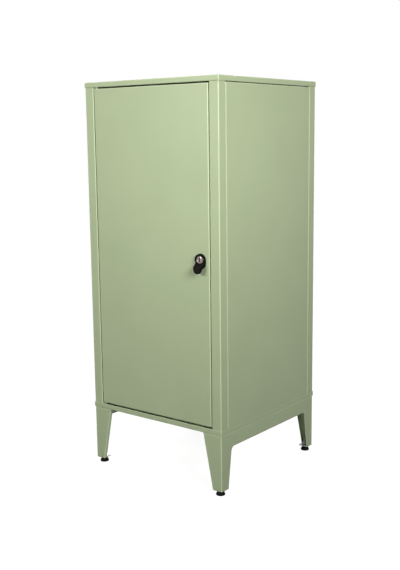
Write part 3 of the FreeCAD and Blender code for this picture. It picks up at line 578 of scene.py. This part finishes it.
def makeLegScrews():
    corners = [(sx * legScrew["x"], sy * legScrew["y"]) for sx in (-1, 1) for sy in (-1, 1)]
    head = hexagonBlank(legScrew["flats"], legScrew["headHeight"])
    bm = setDown(head, [spot(x, y, legScrew["headLow"]) for x, y in corners])
    # The thread starts a little inside the head
    low = legScrew["headLow"] + legScrew["headHeight"] - legScrew["bite"]
    shank = threadedRod(legScrew["shank"], legScrew["pitch"], legScrew["tip"] - low)
    absorb(bm, setDown(shank, [spot(x, y, low) for x, y in corners]))
    finishPiece("legFrameScrews", bm, "cabinet", "zinc_plated_steel", "leg_bolts")
    makeNuts("legFrameNuts", legScrew, corners, "leg_nuts")


def makeFeet():
    corners = {ends + "_" + side: (sx * foot["x"], sy * foot["y"])
               for ends, sy in (("front", -1), ("rear", 1)) for side, sx in (("left", -1), ("right", 1))}
    makeNuts("footLockNuts", foot, corners.values(), "foot_nuts")
    for corner, (x, y) in corners.items():
        bm = threadedRod(foot["shank"], foot["pitch"], foot["stemLength"])
        moveShape(bm, spot(x, y, foot["stemLow"]))
        finishPiece(corner + "_threadedStem", bm, corner + "_foot", "zinc_plated_steel",
                    corner + "_foot_stem")


makeBarrel()
makePlug()
makeLockFixings()
makeHingePins()
makeRivets()
makeLegScrews()
makeFeet()
print("fittings made")


# Stage: a pale paper floor, white surroundings, and soft boxes with grids to the right and left of the
# camera, behind the cabinet and above it
stage = dict(floorSize=14.0, floorColour="cfcfcf", floorSeen="7c7c7c", floorRoughness=0.9, floorGlow=0.93,
             glowBand=(0.5, 1.6), worldGrey=0.02, white="ffffff")
softBoxes = dict(
    key=dict(place=(1.80, -1.00, 1.42), aim=(0.15, -0.08, 0.94), size=0.8, spread=80, power=9.7),
    fill=dict(place=(-0.61, -2.39, 1.42), aim=(0.18, -0.20, 0.94), size=0.6, spread=78, power=7.6),
    rear=dict(place=(-1.60, 1.80, 1.45), aim=(-0.10, 0.10, 0.92), size=0.9, spread=84, power=12.0),
    top=dict(place=(0.30, -0.60, 2.60), aim=(0.10, -0.10, 0.60), size=1.4, spread=90, power=1.0),
)


# 1 for what the camera sees, straight, mirrored or through glass, and 0 for what lights the object
def addSeen(tree):
    rays = addNode(tree, "LightPath")
    seen = rays.outputs["Is Camera Ray"]
    for kind in ("Is Glossy Ray", "Is Transmission Ray"):
        seen = addNode(tree, "Math", {0: seen, 1: rays.outputs[kind]}, operation="MAXIMUM").outputs["Value"]
    return seen


def makeFloor():
    bm = bmesh.new()
    bmesh.ops.create_grid(bm, x_segments=1, y_segments=1, size=stage["floorSize"] / 2)
    mesh = bpy.data.meshes.new("floor")
    bm.to_mesh(mesh)
    bm.free()
    floor = addObject("floor", mesh)
    material, tree, where = newMaterial("whitePaper")
    seen = addSeen(tree)
    # The paper glows less round the object, where the lamps light it and its shadow falls
    far = addNode(tree, "VectorMath", {0: where}, operation="LENGTH").outputs["Value"]
    level = stretch(tree, far, stage["glowBand"], (stage["floorGlow"], 1.0))
    glow = addNode(tree, "Math", {0: seen, 1: level}, operation="MULTIPLY")
    addSurface(tree, {
        "Base Color": mixColours(tree, seen, stage["floorColour"], stage["floorSeen"]),
        "Roughness": stage["floorRoughness"], "Specular IOR Level": 0.0,
        "Emission Color": hexColour(stage["white"]), "Emission Strength": glow.outputs["Value"],
    })
    mesh.materials.append(material)


def makeWorld():
    world = bpy.data.worlds.new("whiteRoom")
    bpy.context.scene.world = world
    world.use_nodes = True
    tree = world.node_tree
    tree.nodes.clear()
    level = stretch(tree, addSeen(tree), target=(stage["worldGrey"], 1.0))
    back = addNode(tree, "Background", {"Color": hexColour(stage["white"]), "Strength": level})
    addNode(tree, "OutputWorld", {"Surface": back.outputs["Background"]})


def makeSoftBox(name, box):
    lamp = bpy.data.lights.new(name, "AREA")
    lamp.shape = "SQUARE"
    lamp.size = box["size"]
    lamp.energy = box["power"]
    lamp.spread = math.radians(box["spread"])
    holder = addObject(name, lamp)
    holder.location = box["place"]
    holder.rotation_euler = (Vector(box["aim"]) - Vector(box["place"])).to_track_quat("-Z", "Y").to_euler()


makeFloor()
makeWorld()
for boxName, box in softBoxes.items():
    makeSoftBox(boxName + "SoftBox", box)
print("stage set")


# Camera: where the photograph was taken from, fitted to the outline, the front corner and the feet
view = dict(place=(1.52348, -1.95040, 0.92157), turn=38.14096, down=9.56054, roll=-0.70226,
            focalPixels=889.257, longSidePixels=570, sensor=36)


def makeCamera():
    turn, down, roll = [math.radians(view[key]) for key in ("turn", "down", "roll")]
    ahead = Vector((-math.sin(turn) * math.cos(down), math.cos(turn) * math.cos(down), -math.sin(down)))
    right = Vector((math.cos(turn), math.sin(turn), 0))
    up = right.cross(ahead)
    tiltedRight = right * math.cos(roll) + up * math.sin(roll)
    tiltedUp = up * math.cos(roll) - right * math.sin(roll)
    lens = bpy.data.cameras.new("photoCamera")
    lens.sensor_width = view["sensor"]
    lens.lens = view["sensor"] * view["focalPixels"] / view["longSidePixels"]
    camera = addObject("photoCamera", lens)
    columns = Matrix((tiltedRight, tiltedUp, -ahead)).transposed()
    camera.matrix_world = Matrix.Translation(view["place"]) @ columns.to_4x4()
    bpy.context.scene.camera = camera


makeCamera()
bpy.context.scene.view_settings.view_transform = "Standard"
